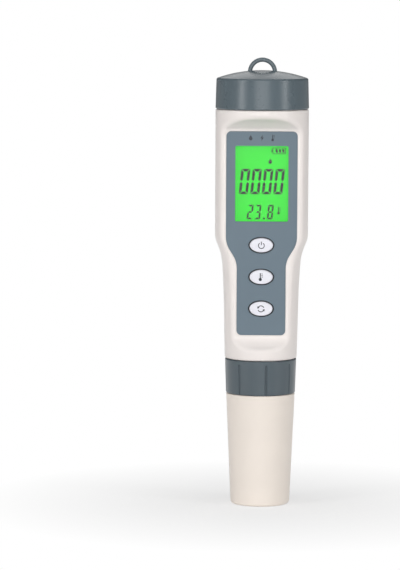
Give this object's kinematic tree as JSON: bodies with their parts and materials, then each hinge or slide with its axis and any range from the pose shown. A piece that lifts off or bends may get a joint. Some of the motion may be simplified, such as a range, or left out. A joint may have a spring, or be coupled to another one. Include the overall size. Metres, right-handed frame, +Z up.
{
  "type": "water quality tester",
  "caption": "Pen-shaped water tester with a lit display and three keys on a flat front, a screwed battery cap with a hang loop, a grooved collar and a push-on cap over the probe.",
  "frame": {"origin": "middle of the flat foot of the protective cap, on which the pen stands", "axes": "+Z up along the pen to the hang loop, -Y out of the display, +X to the right of the display as it is read"},
  "size_m": [0.038, 0.038, 0.1829],
  "materials": {
    "cap_cream": "satin polypropylene",
    "body_white": "satin moulded plastic",
    "trim_grey": "satin moulded plastic",
    "collar_grey": "satin moulded plastic",
    "panel_blue_grey": "fine matt film",
    "window_clear": "clear acrylic",
    "display_green": "lit display, green",
    "light_panel": "milky light guide",
    "key_white": "satin",
    "black_rubber": "matt",
    "black_plastic": "matt",
    "board_green": "solder mask",
    "small_part": "ceramic",
    "switch_grey": "matt",
    "gold": "gold plated",
    "steel": "bright",
    "cell_steel": "bright nickel",
    "probe_black": "satin",
    "bulb_glass": "clear blown glass",
    "sponge": "open foam",
    "ceramic": "porous",
    "inner_white": "moulded"
  },
  "bodies": {
    "protective_cap": {"protective_cap": "cap_cream", "storage_sponge": "sponge"},
    "probe_module": {"probe_body": "probe_black", "probe_guard": "probe_black", "glass_electrode": "bulb_glass", "reference_wire": "steel", "conductivity_pins": "steel", "temperature_probe": "steel", "reference_junction": "ceramic", "probe_contacts": "gold", "cap_o_ring": "black_rubber", "module_o_ring": "black_rubber"},
    "collar": {"retaining_collar": "collar_grey"},
    "housing": {"main_housing": "body_white", "front_panel": "panel_blue_grey", "display_window": "window_clear", "lcd_glass": "display_green", "lcd_frame": "inner_white", "connector_strips": "black_rubber", "backlight": "light_panel", "circuit_board": "board_green", "board_chips": "black_plastic", "board_passives": "small_part", "push_switches": "switch_grey", "keypad_mat": "black_rubber", "probe_socket": "black_plastic", "battery_carrier": "black_plastic", "carrier_screws": "steel", "button_cell_1": "cell_steel", "button_cell_2": "cell_steel", "button_cell_3": "cell_steel", "negative_contact": "gold", "positive_contact": "gold"},
    "mode_button": {"mode_key": "key_white", "mode_plunger": "black_plastic"},
    "temp_button": {"temp_key": "key_white", "temp_plunger": "black_plastic"},
    "power_button": {"power_key": "key_white", "power_plunger": "black_plastic"},
    "cap_seal": {"cap_gasket": "black_rubber"},
    "battery_cap": {"battery_cap": "trim_grey", "cap_contact_plate": "steel"}
  },
  "joints": [
    {"name": "protective_cap_draw", "type": "slide", "parent": "protective_cap", "child": "probe_module", "axis": [0, 0, 1], "range_m": [0, 0.038]},
    {"name": "housing_rise", "type": "slide", "parent": "probe_module", "child": "housing", "axis": [0, 0, 1], "range_m": [0, 0.0096]},
    {"name": "collar_turn", "type": "hinge", "parent": "probe_module", "child": "collar", "pos_m": [0, 0, 0.053], "axis": [0, 0, 1], "range_deg": [-1440, 0]},
    {"name": "battery_cap_rise", "type": "slide", "parent": "housing", "child": "cap_seal", "axis": [0, 0, 1], "range_m": [0, 0.0096]},
    {"name": "battery_cap_turn", "type": "hinge", "parent": "cap_seal", "child": "battery_cap", "pos_m": [0, 0, 0.168], "axis": [0, 0, 1], "range_deg": [0, 1080]},
    {"name": "mode_press", "type": "slide", "parent": "housing", "child": "mode_button", "axis": [0, 1, 0], "range_m": [0, 0.00035], "stiffness_N_per_m": 2000},
    {"name": "temp_press", "type": "slide", "parent": "housing", "child": "temp_button", "axis": [0, 1, 0], "range_m": [0, 0.00035], "stiffness_N_per_m": 2000},
    {"name": "power_press", "type": "slide", "parent": "housing", "child": "power_button", "axis": [0, 1, 0], "range_m": [0, 0.00035], "stiffness_N_per_m": 2000}
  ],
  "couplings": [
    {"joint": "collar_turn", "follows": "housing_rise", "rad_per_m": -2618},
    {"joint": "battery_cap_turn", "follows": "battery_cap_rise", "rad_per_m": 1963.5}
  ]
}
